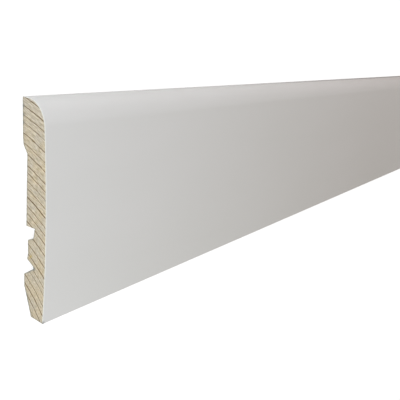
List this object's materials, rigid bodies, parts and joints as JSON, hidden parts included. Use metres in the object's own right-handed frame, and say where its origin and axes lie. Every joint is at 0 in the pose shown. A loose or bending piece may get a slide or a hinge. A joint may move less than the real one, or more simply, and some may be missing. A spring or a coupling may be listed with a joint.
{
  "type": "skirting board length",
  "caption": "Full length of softwood skirting board with a crowned white face, a rounded top, square-cut ends and a relieved back with a clip groove; covers the joint between wall and floor.",
  "frame": {"origin": "middle of the length and of the height, on the wall plane that the back touches; the board lies on its back, so this plane is the floor it lies on", "axes": "+X along the length, away from the cut end that the picture shows; +Y from the floor edge to the rounded top; +Z out of the white face"},
  "size_m": [2.4, 0.095, 0.015],
  "materials": {
    "white_coat": "thin smooth white coat, satin, on the face and the rounded top",
    "bare_timber": "bare planed and sawn softwood, on the back, the floor edge and the cut ends"
  },
  "bodies": {
    "root": {"skirting_board": "white_coat"}
  },
  "joints": []
}
